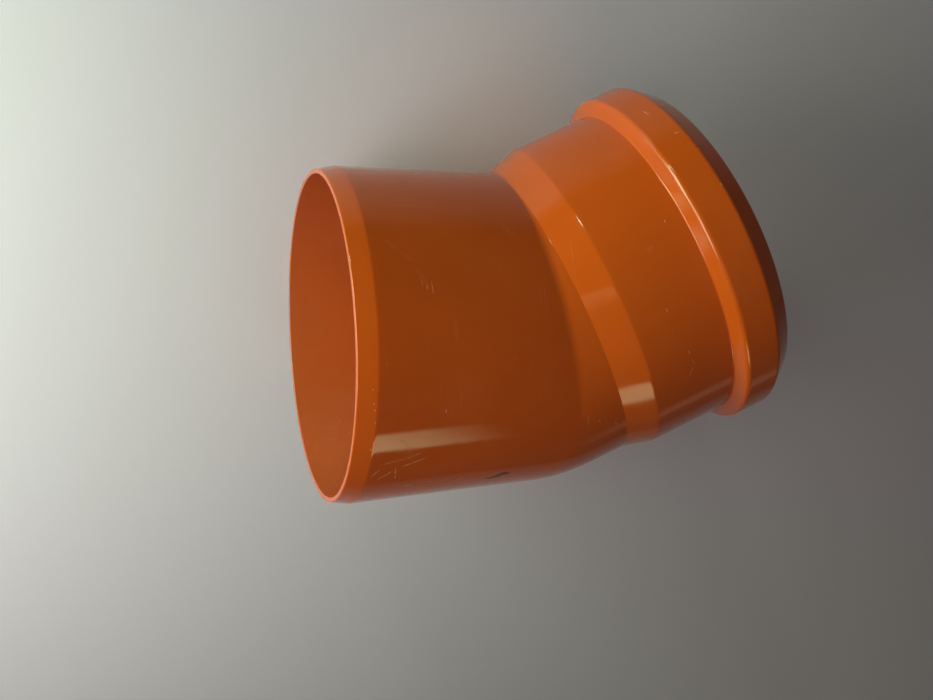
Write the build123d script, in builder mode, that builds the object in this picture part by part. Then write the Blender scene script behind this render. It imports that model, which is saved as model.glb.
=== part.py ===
"""Thirty degree bend for buried sewer pipe of 200 mm, in solid-wall PVC-U.

A plain spigot with a chamfered end runs into a short bend, mitred on its inside and rounded on its
outside. A socket follows: a flare that stops the pipe, a straight barrel, and a bead whose groove
holds a rubber sealing ring. The bend lies on the floor as it comes to rest, along the spigot's
underside and on the bead, with the spigot's axis along X, the socket turned towards +Y and rising a
little, and the middle of its footprint at the origin. Millimetres.
"""

from build123d import *
from math import acos, asin, atan2, cos, radians, sin, sqrt, tan
import os

# Pipe that the bend joins
pipe_diameter = 200.0
wall = 4.9
bend_angle = 30.0
hinge_offset = 17.0  # from the pipe's axis to the hinge that the outside of the bend swings about
bend_relief = 0.1  # how much slimmer the bend is than the spigot, on the radius
crease_land = 0.9  # full pipe diameter beside the crease on the inside of the bend

# Spigot
spigot_length = 105.5  # from its end face to the crease on the inside of the bend
chamfer_length = 10.2
chamfer_angle = 12.0

# Socket, along its axis from the crease towards the mouth
flare_length = 18.0
barrel_length = 49.7
shoulder_angle = 65.7
shoulder_crown_bevel = 2.6
bead_length = 19.4
nose_angle = 37.2
mouth_lead_in = 1.2

# Socket, across its axis
socket_clearance = 0.3  # between the pipe and the barrel, on the radius
groove_depth = 8.4
mouth_relief = 1.0  # how much wider the mouth is than the barrel, on the radius
mouth_wall = 3.2

# Sealing ring
ring_clearance = 0.3  # between the ring and its groove
ring_heel = 4.2
ring_nose = 1.4
lip_bite = 2.6  # how far the relaxed lip stands inside the pipe's surface
lip_length = 17.0
lip_thickness = 2.0
lip_gap = 1.6

# Radii that follow
pipe_radius = pipe_diameter / 2
bore_radius = pipe_radius - wall
bend_radius = pipe_radius - bend_relief
socket_radius = pipe_radius + socket_clearance
barrel_radius = socket_radius + wall
groove_radius = socket_radius + groove_depth
bead_radius = groove_radius + wall
mouth_radius = socket_radius + mouth_relief
nose_radius = mouth_radius + mouth_wall
lip_radius = pipe_radius - lip_bite

# Slopes of the socket's three tapers
flare_slope = atan2(barrel_radius - pipe_radius, flare_length)
shoulder_slope = radians(shoulder_angle)
nose_slope = radians(nose_angle)

# Stations along each arm's axis, from where the two axes meet
half_turn = tan(radians(bend_angle / 2))
crease_station = pipe_radius * half_turn
tangent_station = hinge_offset * half_turn
land_station = crease_station + crease_land
end_station = crease_station + spigot_length
flare_end = land_station + flare_length
shoulder_start = flare_end + barrel_length
shoulder_end = shoulder_start + groove_depth / tan(shoulder_slope)
bead_end = shoulder_end + bead_length
mouth_station = bead_end + (bead_radius - nose_radius) / tan(nose_slope)

# As the bend rests, the socket rises until the bead's inner edge is level with the spigot's underside
crown_station = shoulder_end + shoulder_crown_bevel
crown_reach = sqrt(bead_radius**2 + crown_station**2)
socket_rise = acos(pipe_radius / crown_reach) - atan2(crown_station, bead_radius)
roll = asin(sin(socket_rise) / sin(radians(bend_angle)))
socket_x = cos(radians(bend_angle))
socket_y = sin(radians(bend_angle)) * cos(roll)


def farthest(component, station, radius):
    """How far a round edge of the socket reaches along a direction that its axis has a part of."""
    return station * component + radius * sqrt(1 - component**2)


mouth_reach = farthest(socket_x, mouth_station, nose_radius)
bead_reach = farthest(socket_y, bead_end, bead_radius)
footprint_x = mouth_reach - end_station
footprint_y = bead_reach - pipe_radius

# Both arms are drawn on the plane of the bend: local X along the arm, local Y towards the inside
axes_meet = Vector(-footprint_x / 2, -footprint_y / 2, pipe_radius)
bend_normal = Vector(0, -sin(roll), cos(roll))
turn = Axis(axes_meet, bend_normal)
spigot_direction = Vector(1, 0, 0)
socket_direction = spigot_direction.rotate(turn, bend_angle)
halfway_direction = spigot_direction.rotate(turn, bend_angle / 2)
spigot_plane = Plane(origin=axes_meet, x_dir=spigot_direction, z_dir=bend_normal)
socket_plane = Plane(origin=axes_meet, x_dir=socket_direction, z_dir=bend_normal)
mitre = Plane(origin=axes_meet, x_dir=bend_normal, z_dir=halfway_direction)
hinge = Axis(spigot_plane.from_local_coords((-tangent_station, hinge_offset, 0)), bend_normal)
heel_section = Plane(
    origin=spigot_plane.from_local_coords((-tangent_station, 0, 0)),
    x_dir=spigot_plane.y_dir,
    z_dir=spigot_direction,
)


def turned_arm(plane, corners, kept):
    """A straight arm, turned about its own axis and cut where the two arms meet."""
    with BuildPart() as arm:
        with BuildSketch(plane):
            with BuildLine():
                Polyline(*corners, close=True)
            make_face()
        revolve(axis=Axis(plane.origin, plane.x_dir))
        split(bisect_by=mitre, keep=kept)
    return arm.part


def heel(radius):
    """The outside of the bend: the part of the section beyond the hinge, swung about it."""
    with BuildPart() as swept:
        with BuildSketch(heel_section):
            Circle(radius)
            with Locations((hinge_offset, 0)):
                Rectangle(
                    pipe_diameter, pipe_diameter, align=(Align.MIN, Align.CENTER), mode=Mode.SUBTRACT
                )
        revolve(axis=hinge, revolution_arc=bend_angle)
    return swept.part


# Outside of the whole bend
end_radius = pipe_radius - chamfer_length * tan(radians(chamfer_angle))
spigot_outline = [
    (-end_station, 0),
    (-end_station, end_radius),
    (-end_station + chamfer_length, pipe_radius),
    (-land_station, pipe_radius),
    (-tangent_station, bend_radius),
    (-tangent_station, 0),
]
socket_outline = [
    (tangent_station, 0),
    (tangent_station, bend_radius),
    (land_station, pipe_radius),
    (flare_end, barrel_radius),
    (shoulder_start, barrel_radius),
    (
        shoulder_end - shoulder_crown_bevel * cos(shoulder_slope),
        bead_radius - shoulder_crown_bevel * sin(shoulder_slope),
    ),
    (crown_station, bead_radius),
    (bead_end, bead_radius),
    (mouth_station, nose_radius),
    (mouth_station, 0),
]

# Waterway and the socket's inside, one wall in from the outside as far as the groove's floor
flare_inset = wall * tan(flare_slope / 2)
shoulder_inset = wall * tan(shoulder_slope / 2)
groove_end = bead_end - wall * tan(nose_slope / 2)
lip_seat = groove_end + (groove_radius - mouth_radius) / tan(nose_slope)
bore_outline = [
    (-end_station, 0),
    (-end_station, bore_radius),
    (-tangent_station, bore_radius),
    (-tangent_station, 0),
]
inside_outline = [
    (tangent_station, 0),
    (tangent_station, bore_radius),
    (land_station + flare_inset, bore_radius),
    (flare_end + flare_inset, socket_radius),
    (shoulder_start + shoulder_inset, socket_radius),
    (shoulder_end + shoulder_inset, groove_radius),
    (groove_end, groove_radius),
    (lip_seat, mouth_radius),
    (mouth_station - mouth_lead_in, mouth_radius),
    (mouth_station, mouth_radius + mouth_lead_in),
    (mouth_station, 0),
]

with BuildPart() as waterway:
    add(turned_arm(spigot_plane, bore_outline, Keep.BOTTOM))
    add(heel(bore_radius))
    add(turned_arm(socket_plane, inside_outline, Keep.TOP))

with BuildPart() as elbow_body:
    add(turned_arm(spigot_plane, spigot_outline, Keep.BOTTOM))
    add(heel(bend_radius))
    add(turned_arm(socket_plane, socket_outline, Keep.TOP))
    add(waterway.part, mode=Mode.SUBTRACT)

# The ring's heel fills the groove and its lip leans in from the mouth, away from the pipe's entry
ring_top = groove_radius - ring_clearance
ring_back = shoulder_end + shoulder_inset + ring_clearance
ring_front = groove_end - ring_clearance * tan(nose_slope / 2)
ring_front_low = ring_front + (ring_top - mouth_radius - ring_nose) / tan(nose_slope)
lip_tip = ring_front_low - lip_length
ring_outline = [
    (ring_back, ring_top),
    (ring_front, ring_top),
    (ring_front_low, mouth_radius + ring_nose),
    (ring_front_low - ring_nose, mouth_radius - ring_nose / 2),
    (lip_tip + lip_thickness, lip_radius),
    (lip_tip, lip_radius + lip_thickness / 2),
    (ring_front_low - ring_heel, mouth_radius + ring_nose),
    (ring_front_low - ring_heel - lip_gap, ring_top - ring_heel),
    (ring_back, ring_top - ring_heel),
]

with BuildPart() as sealing_ring:
    with BuildSketch(socket_plane):
        with BuildLine():
            Polyline(*ring_outline, close=True)
        make_face()
    revolve(axis=Axis(socket_plane.origin, socket_plane.x_dir))

os.makedirs("parts", exist_ok=True)
elbow_body.part.label = "elbow_body"
sealing_ring.part.label = "sealing_ring"
export_step(elbow_body.part, "parts/elbow_body.step")
export_step(sealing_ring.part, "parts/sealing_ring.step")
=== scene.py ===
"""Thirty degree bend for sewer pipe of 200 mm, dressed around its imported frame.

The elbow is drawn around the point where the axes of its two arms meet, with its spigot along X and
the bend lying flat, and is then rolled onto the pose in which it rests. Metres.
"""

import math

import bmesh
import bpy
from mathutils import Matrix, Quaternion, Vector


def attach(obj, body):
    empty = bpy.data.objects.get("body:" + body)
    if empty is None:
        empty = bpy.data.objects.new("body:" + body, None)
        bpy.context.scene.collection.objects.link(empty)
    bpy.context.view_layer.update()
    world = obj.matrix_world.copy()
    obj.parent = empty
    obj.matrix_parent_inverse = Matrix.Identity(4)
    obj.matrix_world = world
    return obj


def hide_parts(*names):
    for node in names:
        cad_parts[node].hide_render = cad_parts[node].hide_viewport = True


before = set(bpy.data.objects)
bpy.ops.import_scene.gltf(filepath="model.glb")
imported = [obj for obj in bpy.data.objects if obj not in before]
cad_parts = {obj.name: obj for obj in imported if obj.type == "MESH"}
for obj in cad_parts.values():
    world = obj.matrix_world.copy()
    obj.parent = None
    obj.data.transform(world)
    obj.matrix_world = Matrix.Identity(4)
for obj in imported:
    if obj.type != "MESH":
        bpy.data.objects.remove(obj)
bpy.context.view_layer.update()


# Elbow body. One injection moulding in solid orange-brown PVC-U, glossy all over. Its steel cores are
# drawn out of the two ends, so each arm is a turned shape, and the arms meet on a mitre that is sharp
# on the inside of the bend and rounded on the outside.
pipe_radius = 0.1
bore_radius = 0.0951
half_bend = math.radians(15)
mitre_normal = Vector((math.cos(half_bend), math.sin(half_bend), 0))
turning_steps = 256

# The outside of the bend swings about a hinge, in steps on each side of the mitre.
hinge_offset = 0.017
hinge = Vector((-hinge_offset * math.tan(half_bend), hinge_offset, 0))
heel_steps = 8

# The crease on the inside is eased this far from the mitre, fading out towards the hinge.
crease_reach = 0.0026
crease_fade = 0.02

# The full pipe's diameter ends at this station, just before the flare. Stations are distances along
# either arm's axis, from where the two axes meet.
land_end = 0.0273

# As it rests, the elbow is rolled about the spigot's axis until the bead just touches the floor.
axes_meet = Vector((-0.0165188, -0.0284064, 0.1))
roll = math.radians(14.4628)
resting = Matrix.Translation(axes_meet) @ Matrix.Rotation(roll, 4, "X")


def turn_outline(mesh, corners, closed=False):
    """Draws an outline of (station, radius, rounding) corners and turns it about the arm's axis.

    A rounding is the length that it takes off each side of its corner. A point just beyond each end
    of it keeps the surfaces beside it flat.
    """
    points = [Vector((-station, radius, 0)) for station, radius, rounding in corners]
    outline = []
    rounded = []
    for place, (point, corner) in enumerate(zip(points, corners)):
        rounding = corner[2]
        guard = rounding * 1.2 + 0.0001
        before = points[place - 1]
        after = points[(place + 1) % len(points)]
        if rounding:
            outline.append(mesh.verts.new(point + (before - point).normalized() * guard))
        outline.append(mesh.verts.new(point))
        if rounding:
            rounded.append((outline[-1], rounding))
            outline.append(mesh.verts.new(point + (after - point).normalized() * guard))
    for start, end in zip(outline, outline[1:]):
        mesh.edges.new((start, end))
    if closed:
        mesh.edges.new((outline[-1], outline[0]))
    for corner, rounding in rounded:
        bmesh.ops.bevel(mesh, geom=[corner], offset=rounding, offset_type="OFFSET", affect="VERTICES",
                        segments=6, profile=0.5, material=-1)
    bmesh.ops.spin(mesh, geom=mesh.verts[:] + mesh.edges[:], cent=(0, 0, 0), axis=(1, 0, 0),
                   dvec=(0, 0, 0), angle=math.tau, steps=turning_steps, use_merge=True)


def ease_crease(vertex):
    """Lifts a point near the crease, by as much as the land beside it leaves room for."""
    inwards = vertex.co.y - hinge_offset
    if inwards <= 0:
        return
    room = (land_end - vertex.co.y * math.tan(half_bend)) * math.cos(half_bend)
    reach = min(0.9 * room, crease_reach * min(inwards / crease_fade, 1))
    away = -vertex.co.dot(mitre_normal)
    if away < reach:
        radial = Vector((0, vertex.co.y, vertex.co.z)).normalized()
        lean = radial.dot(mitre_normal)
        level = radial - mitre_normal * lean
        vertex.co += level.normalized() * (lean / level.length) * (reach - away) ** 2 / (2 * reach)


def carry_to_mitre(mesh):
    """Carries an arm's open rings on to the mitre: straight first, then round the heel's hinge."""
    def extruded():
        rim = [edge for edge in mesh.edges if edge.is_boundary]
        grown = bmesh.ops.extrude_edge_only(mesh, edges=rim)["geom"]
        return [item for item in grown if isinstance(item, bmesh.types.BMVert)]

    # The rings stand closer together towards the mitre.
    left = 1
    for next_left in (0.8, 0.62, 0.46, 0.33, 0.23, 0.16, 0.11, 0.075, 0.05, 0.03, 0.015, 0):
        for vertex in extruded():
            stop = min(hinge.x, -vertex.co.y * math.tan(half_bend))
            vertex.co.x = stop + (vertex.co.x - stop) * next_left / left
        left = next_left
    swing = Matrix.Rotation(half_bend / heel_steps, 3, "Z")
    for _ in range(heel_steps):
        swung = [vertex for vertex in extruded() if vertex.co.y < hinge_offset]
        bmesh.ops.rotate(mesh, cent=hinge, matrix=swing, verts=swung)
    for vertex in mesh.verts:
        ease_crease(vertex)
    bmesh.ops.remove_doubles(mesh, verts=mesh.verts, dist=1e-6)


spigot_start = 0.045
spigot_end = 0.132295
chamfer_length = 0.0102
chamfered_radius = 0.097832
body = bmesh.new()
turn_outline(body, [
    (spigot_start, pipe_radius, 0),
    (spigot_end - chamfer_length, pipe_radius, 0.0007),
    (spigot_end, chamfered_radius, 0.0006),
    (spigot_end, bore_radius, 0.0007),
    (spigot_start, bore_radius, 0),
])
carry_to_mitre(body)
spigot_arm = bpy.data.meshes.new("spigot_arm")
body.to_mesh(spigot_arm)
body.free()

# The socket's outside: flare, barrel, shoulder, bead and nose
flare_start = 0.027695
flare_end = 0.045695
barrel_radius = 0.1052
shoulder_start = 0.095395
shoulder_end = 0.099188
bead_radius = 0.1136
bead_end = 0.118588
nose_radius = 0.1045

# Its inside, from the mouth back to the stop that the pipe is pushed against
mouth_station = 0.130576
mouth_radius = 0.1013
lead_in = 0.0012
lip_seat = 0.126688
groove_end = 0.116939
groove_start = 0.102352
groove_radius = 0.1087
socket_end = 0.098559
socket_start = 0.046388
socket_radius = 0.1003
bore_end = 0.028388

# The socket's arm is drawn like the spigot's, and mirrored over to its own side of the mitre.
body = bmesh.new()
turn_outline(body, [
    (land_end, pipe_radius, 0),
    (flare_start, pipe_radius, 0.0002),
    (flare_end, barrel_radius, 0.0009),
    (shoulder_start, barrel_radius, 0.0007),
    (shoulder_end, bead_radius, 0.0018),
    (bead_end, bead_radius, 0.0012),
    (mouth_station, nose_radius, 0.0005),
    (mouth_station, mouth_radius + lead_in, 0.0003),
    (mouth_station - lead_in, mouth_radius, 0.0003),
    (lip_seat, mouth_radius, 0.0005),
    (groove_end, groove_radius, 0.0008),
    (groove_start, groove_radius, 0.0008),
    (socket_end, socket_radius, 0.0008),
    (socket_start, socket_radius, 0.0009),
    (bore_end, bore_radius, 0.0004),
    (land_end, bore_radius, 0),
])
carry_to_mitre(body)
bmesh.ops.transform(body, matrix=Matrix.Scale(-1, 4, mitre_normal), verts=body.verts)
body.from_mesh(spigot_arm)
bmesh.ops.remove_doubles(body, verts=body.verts, dist=2e-6)
bmesh.ops.transform(body, matrix=resting, verts=body.verts)
bmesh.ops.recalc_face_normals(body, faces=body.faces)
for face in body.faces:
    face.smooth = True

# A pale grey lies inside, where the surface looks towards its arm's axis: partly dust, partly a painted
# sheen.
inside = body.verts.layers.float.new("inside")
spigot_axis = Vector((1, 0, 0))
socket_axis = resting.to_3x3() @ Vector((math.cos(2 * half_bend), math.sin(2 * half_bend), 0))
for vertex in body.verts:
    reach = vertex.co - axes_meet
    in_socket = reach.dot(resting.to_3x3() @ mitre_normal) > 0
    axis = socket_axis if in_socket else spigot_axis
    outwards = reach - axis * reach.dot(axis)
    vertex[inside] = 1 if vertex.normal.dot(outwards.normalized()) < -0.05 else 0
elbow_mesh = bpy.data.meshes.new("elbow")
body.to_mesh(elbow_mesh)
body.free()
bpy.data.meshes.remove(spigot_arm)
elbow = bpy.data.objects.new("elbow", elbow_mesh)
bpy.context.scene.collection.objects.link(elbow)


def add_node(tree, kind, inputs=None, **settings):
    """Adds a node, sets it up, and gives its inputs a value or joins them to what feeds them."""
    added = tree.nodes.new("ShaderNode" + kind)
    for name, value in settings.items():
        setattr(added, name, value)
    for name, value in (inputs or {}).items():
        if isinstance(value, bpy.types.NodeSocket):
            tree.links.new(value, added.inputs[name])
        else:
            added.inputs[name].default_value = value
    return added


def noise(tree, place, scale, detail=2, roughness=0.5):
    """Cloudy variation with so many features to the metre."""
    return add_node(tree, "TexNoise", {
        "Vector": place, "Scale": scale, "Detail": detail, "Roughness": roughness,
    }).outputs["Fac"]


def band(tree, value, low, high, bottom=0, top=1):
    """Spreads the stretch of a pattern between two levels, and holds it level beyond them."""
    return add_node(tree, "MapRange", {
        "Value": value, "From Min": low, "From Max": high, "To Min": bottom, "To Max": top,
    }, interpolation_type="SMOOTHSTEP").outputs["Result"]


def math_of(tree, operation, first, second):
    """One step of arithmetic between two patterns, or a pattern and a number."""
    return add_node(tree, "Math", {0: first, 1: second}, operation=operation).outputs["Value"]


def mixed(tree, amount, first, second):
    """Goes from one colour to another with a pattern. A Mix node has its colours on 6, 7 and 2."""
    return add_node(tree, "Mix", {0: amount, 6: first, 7: second}, data_type="RGBA").outputs[2]


def any_of(tree, patterns):
    """The strongest of several patterns at each place."""
    strongest = patterns[0]
    for pattern in patterns[1:]:
        strongest = math_of(tree, "MAXIMUM", strongest, pattern)
    return strongest


def scratch(tree, place, start, end, width, depth=0.0025):
    """A mark from one point of the elbow's surface to another, thinning out at both ends."""
    start = Vector(start)
    along = Vector(end) - start
    middle = start + along / 2
    outwards = elbow.closest_point_on_mesh(middle)[2]
    across = outwards.cross(along).normalized()
    outwards = along.cross(across).normalized()
    turn = Matrix((along.normalized(), across, outwards)).transposed().to_euler()
    local = add_node(tree, "Mapping", {
        "Vector": place, "Location": middle, "Rotation": turn,
        "Scale": (along.length / 2, width / 2, depth),
    }, vector_type="TEXTURE").outputs["Vector"]
    return add_node(tree, "TexGradient", {"Vector": local}, gradient_type="SPHERICAL").outputs["Fac"]


# The marks of use, each given by its two ends and its width. The scratches start with those along the
# spigot, then come the chips in its rim and chamfer, the hairlines on its top, and the marks on the
# bead, the barrel and the heel.
pale_scratches = [
    ((-0.1360, -0.0632, 0.1938), (-0.1180, -0.0596, 0.1950), 0.0009),
    ((-0.1200, -0.0602, 0.1948), (-0.1115, -0.0561, 0.1961), 0.0008),
    ((-0.1228, -0.0668, 0.1923), (-0.1065, -0.0598, 0.1950), 0.0008),
    ((-0.1340, -0.0770, 0.1874), (-0.1228, -0.0658, 0.1928), 0.0008),
    ((-0.1373, -0.0728, 0.1896), (-0.1320, -0.0649, 0.1931), 0.0008),
    ((-0.1246, -0.0644, 0.1932), (-0.1220, -0.0776, 0.1871), 0.0009),
    ((-0.0876, -0.0898, 0.1790), (-0.0796, -0.0830, 0.1837), 0.0009),
    ((-0.1183, -0.0846, 0.1827), (-0.1079, -0.0862, 0.1816), 0.0016),
    ((-0.1019, -0.0832, 0.1836), (-0.0980, -0.0844, 0.1829), 0.0014),
    ((-0.1243, -0.0467, 0.1983), (-0.1216, -0.0481, 0.1981), 0.0010),
    ((-0.1218, -0.0479, 0.1981), (-0.1206, -0.0502, 0.1976), 0.0010),
    ((-0.1485, 0.0424, 0.1676), (-0.1482, 0.0393, 0.1708), 0.0008),
    ((-0.1405, -0.0227, 0.1994), (-0.1403, -0.0243, 0.1996), 0.0006),
    ((-0.1398, -0.0262, 0.1997), (-0.1396, -0.0278, 0.1998), 0.0006),
    ((-0.1391, -0.0334, 0.1998), (-0.1389, -0.0355, 0.1997), 0.0004),
    ((-0.1412, -0.0157, 0.1986), (-0.1410, -0.0167, 0.1988), 0.0006),
    ((-0.1401, -0.0499, 0.1973), (-0.1395, -0.0513, 0.1972), 0.0010),
    ((-0.1024, -0.0290, 0.2000), (-0.1021, -0.0322, 0.1999), 0.0009),
    ((-0.0979, -0.0455, 0.1985), (-0.0917, -0.0458, 0.1985), 0.0008),
    ((-0.1145, 0.0332, 0.1788), (-0.1139, 0.0303, 0.1810), 0.0005),
    ((-0.1117, 0.0311, 0.1804), (-0.1117, 0.0277, 0.1828), 0.0005),
    ((-0.1093, 0.0327, 0.1791), (-0.1087, 0.0260, 0.1839), 0.0005),
    ((0.0213, 0.1186, 0.1420), (0.0227, 0.1173, 0.1486), 0.0011),
    ((0.0265, 0.1103, 0.1674), (0.0300, 0.1116, 0.1689), 0.0010),
    ((0.0392, 0.0905, 0.1980), (0.0397, 0.0891, 0.1993), 0.0010),
    ((0.0155, 0.0683, 0.1897), (0.0153, 0.0669, 0.1905), 0.0009),
    ((0.0341, 0.1054, 0.1805), (0.0341, 0.1044, 0.1818), 0.0009),
    ((0.0183, 0.0951, 0.1792), (0.0192, 0.0936, 0.1818), 0.0008),
    ((0.0314, 0.0020, 0.2131), (0.0334, -0.0011, 0.2132), 0.0005),
    ((0.0375, -0.0170, 0.2114), (0.0383, -0.0064, 0.2131), 0.0004),
    ((0.0351, -0.0032, 0.2132), (0.0390, -0.0075, 0.2130), 0.0005),
    ((-0.0073, -0.0447, 0.1990), (-0.0050, -0.0481, 0.1982), 0.0005),
    ((0.0037, -0.0474, 0.1982), (0.0082, -0.0513, 0.1968), 0.0005),
    ((-0.0164, -0.0397, 0.1996), (-0.0122, -0.0499, 0.1977), 0.0004),
    ((0.0144, 0.0250, 0.2078), (0.0155, 0.0224, 0.2086), 0.0006),
]
faint_smears = [
    ((0.0030, 0.0514, 0.1940), (0.0096, 0.0556, 0.1946), 0.0046),
    ((-0.1365, -0.0634, 0.1937), (-0.1110, -0.0560, 0.1962), 0.0034),
    ((-0.1240, -0.0672, 0.1921), (-0.1055, -0.0594, 0.1951), 0.0030),
    ((-0.1350, -0.0775, 0.1871), (-0.1225, -0.0655, 0.1929), 0.0030),
    ((-0.1375, -0.0728, 0.1896), (-0.1310, -0.0640, 0.1934), 0.0030),
    ((-0.1246, -0.0640, 0.1934), (-0.1220, -0.0780, 0.1869), 0.0034),
    ((-0.1320, 0.0498, 0.1623), (-0.1225, 0.0442, 0.1688), 0.0026),
    ((-0.1245, 0.0452, 0.1678), (-0.1160, 0.0392, 0.1736), 0.0030),
    ((-0.1178, 0.0401, 0.1728), (-0.1090, 0.0263, 0.1836), 0.0040),
    ((-0.1354, 0.0043, 0.1945), (-0.1348, -0.0075, 0.1978), 0.0012),
    ((-0.1343, -0.0018, 0.1964), (-0.1340, -0.0061, 0.1975), 0.0010),
    ((-0.0684, 0.0177, 0.1888), (-0.0579, 0.0191, 0.1880), 0.0009),
    ((-0.0841, -0.0044, 0.1971), (-0.0833, -0.0055, 0.1974), 0.0016),
    ((-0.0734, -0.0232, 0.1999), (-0.0719, -0.0246, 0.1999), 0.0018),
    ((-0.0640, 0.0570, 0.1520), (-0.0560, 0.0480, 0.1640), 0.0080),
    ((-0.0990, 0.0190, 0.1880), (-0.0975, 0.0010, 0.1955), 0.0030),
    ((0.0140, 0.1100, 0.1530), (0.0160, 0.1000, 0.1700), 0.0050),
    ((-0.1330, 0.0607, 0.1453), (-0.0940, 0.0626, 0.1415), 0.0015),
]
dark_scuffs = [
    ((-0.0590, -0.0868, 0.1812), (-0.0494, -0.0846, 0.1827), 0.0056),
    ((-0.0650, -0.0891, 0.1795), (-0.0540, -0.0878, 0.1805), 0.0036),
    ((-0.1396, -0.0523, 0.1969), (-0.1391, -0.0531, 0.1968), 0.0006),
]

orange_brown = (0.505, 0.086, 0.0055, 1)
light_orange_brown = (0.575, 0.102, 0.0085, 1)
haze = (0.72, 0.42, 0.30, 1)
# The inside's grey is partly dust and partly a painted sheen.
dust_and_sheen = (0.36, 0.32, 0.30, 1)
chafed = (0.78, 0.45, 0.28, 1)
grime = (0.03, 0.012, 0.008, 1)

pvc = bpy.data.materials.new("gloss_orange_brown_pvc")
pvc.use_nodes = True
tree = pvc.node_tree
place = add_node(tree, "TexCoord").outputs["Object"]

# The marks don't run quite straight: each point of the surface is looked up a little off its place.
wander_reach = 0.0008
wander = add_node(tree, "TexNoise", {"Vector": place, "Scale": 700, "Detail": 1}).outputs["Color"]
wander = add_node(tree, "VectorMath", {0: wander, 1: (0.5, 0.5, 0.5)},
                  operation="SUBTRACT").outputs["Vector"]
wander = add_node(tree, "VectorMath", {0: wander, 1: (wander_reach, wander_reach, wander_reach)},
                  operation="MULTIPLY").outputs["Vector"]
uneven = add_node(tree, "VectorMath", {0: place, 1: wander}, operation="ADD").outputs["Vector"]

# Scratches and smears at their places, a little broken up
skips = band(tree, noise(tree, place, 420, 2), 0.30, 0.60, 0.25, 1)
placed = any_of(tree, [scratch(tree, uneven, *mark) for mark in pale_scratches])
placed = math_of(tree, "MULTIPLY", band(tree, placed, 0.02, 0.4), skips)
smeared = any_of(tree, [scratch(tree, uneven, *mark) for mark in faint_smears])
smeared = math_of(tree, "MULTIPLY", band(tree, smeared, 0, 0.8), skips)

# Fine rubbing in three directions, in patches, and a few specks
rubbings = []
for turn in ((0.3, 0.2, 0.5), (1.1, 0.4, 1.5), (0.5, 1.2, 2.4)):
    sheets = add_node(tree, "Mapping", {
        "Vector": uneven, "Rotation": turn, "Scale": (1, 0.05, 0.05),
    }).outputs["Vector"]
    rubbings.append(band(tree, noise(tree, sheets, 700, 1), 0.70, 0.80))
rubbed_here = band(tree, noise(tree, place, 31, 2), 0.50, 0.72)
rubbed = math_of(tree, "MULTIPLY", any_of(tree, rubbings), rubbed_here)
cells = add_node(tree, "TexVoronoi", {"Vector": place, "Scale": 230})
few_cells = band(tree, cells.outputs["Color"], 0.80, 0.84)
specks = math_of(tree, "MULTIPLY", band(tree, cells.outputs["Distance"], 0.04, 0.12, 1, 0), few_cells)
worn = any_of(tree, [
    placed,
    math_of(tree, "MULTIPLY", smeared, 0.14),
    math_of(tree, "MULTIPLY", rubbed, 0.32),
    math_of(tree, "MULTIPLY", specks, 0.4),
])

# Dark scuffs, patchy, and on the inside a little pale grey that is partly dust and partly a painted
# sheen
soiled = any_of(tree, [scratch(tree, uneven, *mark) for mark in dark_scuffs])
soiled = math_of(tree, "MULTIPLY", soiled, band(tree, noise(tree, place, 420, 4), 0.35, 0.62, 0.35, 1))
soiled = band(tree, soiled, 0.03, 0.34)
dust_and_sheen_amount = add_node(tree, "Attribute", attribute_name="inside").outputs["Fac"]
dust_and_sheen_amount = math_of(tree, "MULTIPLY", dust_and_sheen_amount, band(tree, noise(tree, place, 12), 0.3, 0.7, 0.06, 0.12))

# The moulding's colour is slightly clouded, and handling has dulled its gloss in places.
clouded = band(tree, noise(tree, place, 9, 3), 0.3, 0.7)
hazed = math_of(tree, "MULTIPLY", band(tree, noise(tree, place, 16, 6, 0.7), 0.48, 0.75), 0.03)
colour = mixed(tree, clouded, orange_brown, light_orange_brown)
colour = mixed(tree, hazed, colour, haze)
# Inside surfaces greyed a little: partly dust, partly a painted sheen.
colour = mixed(tree, dust_and_sheen_amount, colour, dust_and_sheen)
colour = mixed(tree, math_of(tree, "MULTIPLY", worn, 0.45), colour, chafed)
colour = mixed(tree, math_of(tree, "MULTIPLY", soiled, 0.9), colour, grime)
handled = band(tree, noise(tree, place, 24, 6, 0.6), 0.45, 0.75)
dulled = any_of(tree, [
    band(tree, handled, 0, 1, 0.06, 0.14),
    math_of(tree, "MULTIPLY", worn, 0.5),
    math_of(tree, "MULTIPLY", soiled, 0.35),
])
dulled = math_of(tree, "ADD", dulled, math_of(tree, "MULTIPLY", dust_and_sheen_amount, 1.5))
bumped = add_node(tree, "Bump", {
    "Height": noise(tree, place, 75, 1), "Distance": 0.00006, "Strength": 1.0,
}).outputs["Normal"]
pvc_shader = tree.nodes["Principled BSDF"]
tree.links.new(colour, pvc_shader.inputs["Base Color"])
tree.links.new(dulled, pvc_shader.inputs["Roughness"])
tree.links.new(bumped, pvc_shader.inputs["Normal"])
pvc_shader.inputs["IOR"].default_value = 1.53
elbow_mesh.materials.append(pvc)

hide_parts("elbow_body")
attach(elbow, "root")


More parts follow.
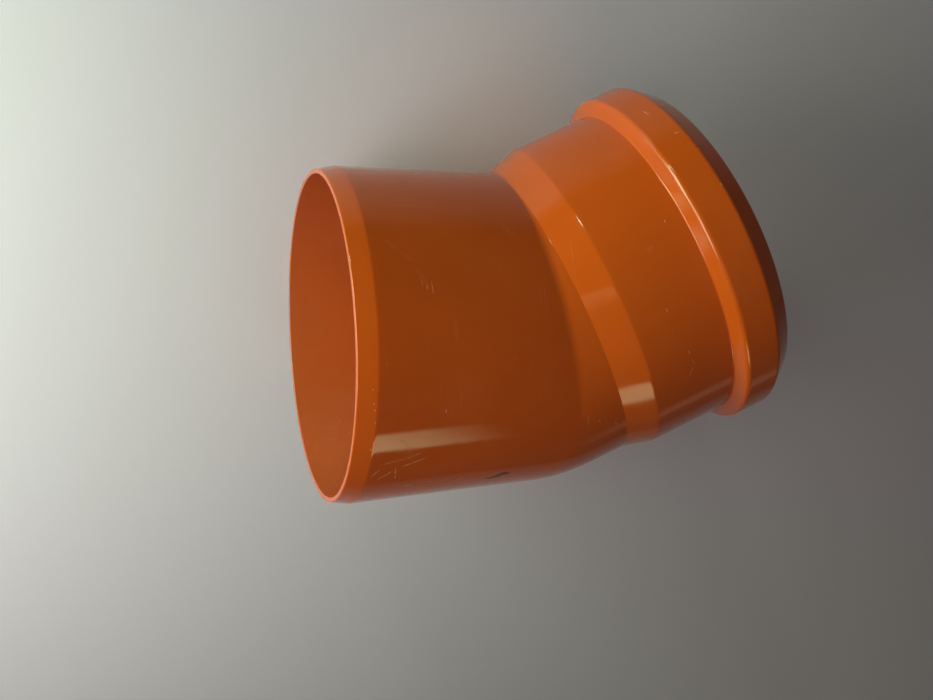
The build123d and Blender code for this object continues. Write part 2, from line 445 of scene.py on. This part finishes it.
# Sealing ring. Black rubber, moulded as a heel that fills the bead's groove and a lip that leans in
# towards the bend, which the pipe presses back as it is pushed in.
ring_back = 0.102652
heel_top = 0.1084
heel_bottom = 0.1042
lip_root = 0.1027
seal = bmesh.new()
turn_outline(seal, [
    (ring_back, heel_top, 0.0006),
    (0.116838, heel_top, 0.0006),
    (0.124348, lip_root, 0.0005),
    (0.122948, 0.1006, 0.0006),
    (0.109348, 0.0974, 0.0006),
    (0.107348, 0.0984, 0.0006),
    (0.120148, lip_root, 0.0006),
    (0.118548, heel_bottom, 0.0005),
    (ring_back, heel_bottom, 0.0006),
], closed=True)
bmesh.ops.transform(seal, matrix=resting @ Matrix.Scale(-1, 4, mitre_normal), verts=seal.verts)
bmesh.ops.recalc_face_normals(seal, faces=seal.faces)
for face in seal.faces:
    face.smooth = True
ring_mesh = bpy.data.meshes.new("lip_ring")
seal.to_mesh(ring_mesh)
seal.free()
ring = bpy.data.objects.new("lip_ring", ring_mesh)
bpy.context.scene.collection.objects.link(ring)

black = (0.016, 0.016, 0.018, 1)
bloomed_grey = (0.036, 0.035, 0.034, 1)
rubber = bpy.data.materials.new("black_rubber")
rubber.use_nodes = True
tree = rubber.node_tree
place = add_node(tree, "TexCoord").outputs["Object"]
bloom = band(tree, noise(tree, place, 55, 5, 0.6), 0.42, 0.72)
matted = band(tree, noise(tree, place, 260, 3), 0.35, 0.65)
colour = mixed(tree, bloom, black, bloomed_grey)
roughness = math_of(tree, "ADD", band(tree, bloom, 0, 1, 0.42, 0.60), band(tree, matted, 0, 1, 0, 0.10))
bumped = add_node(tree, "Bump", {
    "Height": noise(tree, place, 1500, 3, 0.6), "Distance": 0.00004, "Strength": 1.0,
}).outputs["Normal"]
rubber_shader = tree.nodes["Principled BSDF"]
tree.links.new(colour, rubber_shader.inputs["Base Color"])
tree.links.new(roughness, rubber_shader.inputs["Roughness"])
tree.links.new(bumped, rubber_shader.inputs["Normal"])
ring_mesh.materials.append(rubber)

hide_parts("sealing_ring")
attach(ring, "root")


# Floor. A plain pale board that the elbow lies on, painted matt, and wide enough to fill every view.
# It isn't part of the object.
board = bmesh.new()
bmesh.ops.create_circle(board, cap_ends=True, segments=64, radius=6)
floor_mesh = bpy.data.meshes.new("floor")
board.to_mesh(floor_mesh)
board.free()
floor = bpy.data.objects.new("floor", floor_mesh)
bpy.context.scene.collection.objects.link(floor)
paint = bpy.data.materials.new("pale_floor")
paint.use_nodes = True
paint_shader = paint.node_tree.nodes["Principled BSDF"]
paint_shader.inputs["Base Color"].default_value = (0.67, 0.70, 0.93, 1)
paint_shader.inputs["Roughness"].default_value = 0.7
floor_mesh.materials.append(paint)


# Light. Two broad lamps and a small high one beyond the spigot's end, a small one off the inside of
# the bend, a window high over its outside and a dim wide one low behind it. Their edges fade out as
# behind curtains, and the room adds an even, weak light.
def window(name, place, aim, width, height, watts, colour, fades):
    """A soft rectangular light at a place, facing a point.

    Its fades are the shares of its width and height, from the left, right, bottom and top, over
    which it dims away.
    """
    lamp = bpy.data.lights.new(name, "AREA")
    lamp.shape = "RECTANGLE"
    lamp.size = width
    lamp.size_y = height
    lamp.energy = watts
    lamp.color = colour
    left, right, bottom, top = fades
    lamp.use_nodes = True
    tree = lamp.node_tree
    spot = add_node(tree, "NewGeometry").outputs["Parametric"]
    spot = add_node(tree, "SeparateXYZ", {"Vector": spot}).outputs
    sideways = math_of(tree, "MULTIPLY", band(tree, spot["X"], 0, left),
                       band(tree, spot["X"], 1 - right, 1, 1, 0))
    upwards = math_of(tree, "MULTIPLY", band(tree, spot["Y"], 0, bottom),
                      band(tree, spot["Y"], 1 - top, 1, 1, 0))
    lit = math_of(tree, "MULTIPLY", sideways, upwards)
    tree.links.new(lit, tree.nodes["Emission"].inputs["Strength"])
    holder = bpy.data.objects.new(name, lamp)
    holder.location = place
    holder.rotation_euler = (Vector(aim) - Vector(place)).to_track_quat("-Z", "Y").to_euler()
    bpy.context.scene.collection.objects.link(holder)


window("low_lamp", place=(-0.77, 0.21, 0.21), aim=(0, 0, 0.1), width=0.66, height=0.37,
       watts=7.7, colour=(1, 1.25, 0.76), fades=(0.32, 0.32, 0.32, 0.32))
window("side_lamp", place=(-0.72, -0.06, 0.44), aim=(0, 0, 0.1), width=0.59, height=0.44,
       watts=7.0, colour=(1, 0.86, 0.66), fades=(0.32, 0.32, 0.32, 0.32))
window("high_lamp", place=(-0.571, 0.141, 0.959), aim=(-0.017, 0.028, 0.195), width=0.186, height=0.26,
       watts=0.13, colour=(1, 0.66, 0.3), fades=(0.12, 0.75, 0.25, 0.25))
window("small_lamp", place=(-0.83, 1.336, 0.528), aim=(-0.024, 0.062, 0.171), width=0.13, height=0.25,
       watts=5.0, colour=(1, 0.92, 0.62), fades=(0.42, 0.42, 0.42, 0.42))
window("far_window", place=(0.41, -1.77, 1.472), aim=(-0.08, -0.045, 0.198), width=1.072, height=0.67,
       watts=5.3, colour=(1, 1, 0.52), fades=(0.05, 0.5, 0.2, 0.2))
window("back_window", place=(1.51, -1.46, 0.55), aim=(0, 0, 0.2), width=1.2, height=0.45,
       watts=0.42, colour=(1, 0.62, 0.42), fades=(0.4, 0.4, 0.4, 0.4))

room = bpy.data.worlds.new("room")
room.use_nodes = True
room.node_tree.nodes["Background"].inputs["Color"].default_value = (0.80, 0.64, 0.54, 1)
room.node_tree.nodes["Background"].inputs["Strength"].default_value = 0.09
bpy.context.scene.world = room
bpy.context.scene.view_settings.view_transform = "Standard"


# Camera. The photograph's viewing angle, steeply down from the spigot's side and rolled. Its lens
# and place come from the elbow's edges, fitted to the photograph.
view = bpy.data.cameras.new("camera")
view.sensor_width = 36
view.lens = 28.5986
camera = bpy.data.objects.new("camera", view)
camera.location = (-0.235598, 0.143262, 0.50969)
sight = Vector((0.38224, -0.38127, -0.84174))
tilt = Quaternion((0, 0, 1), math.radians(136.854))
camera.rotation_euler = (sight.to_track_quat("-Z", "Y") @ tilt).to_euler()
bpy.context.scene.collection.objects.link(camera)
bpy.context.scene.camera = camera
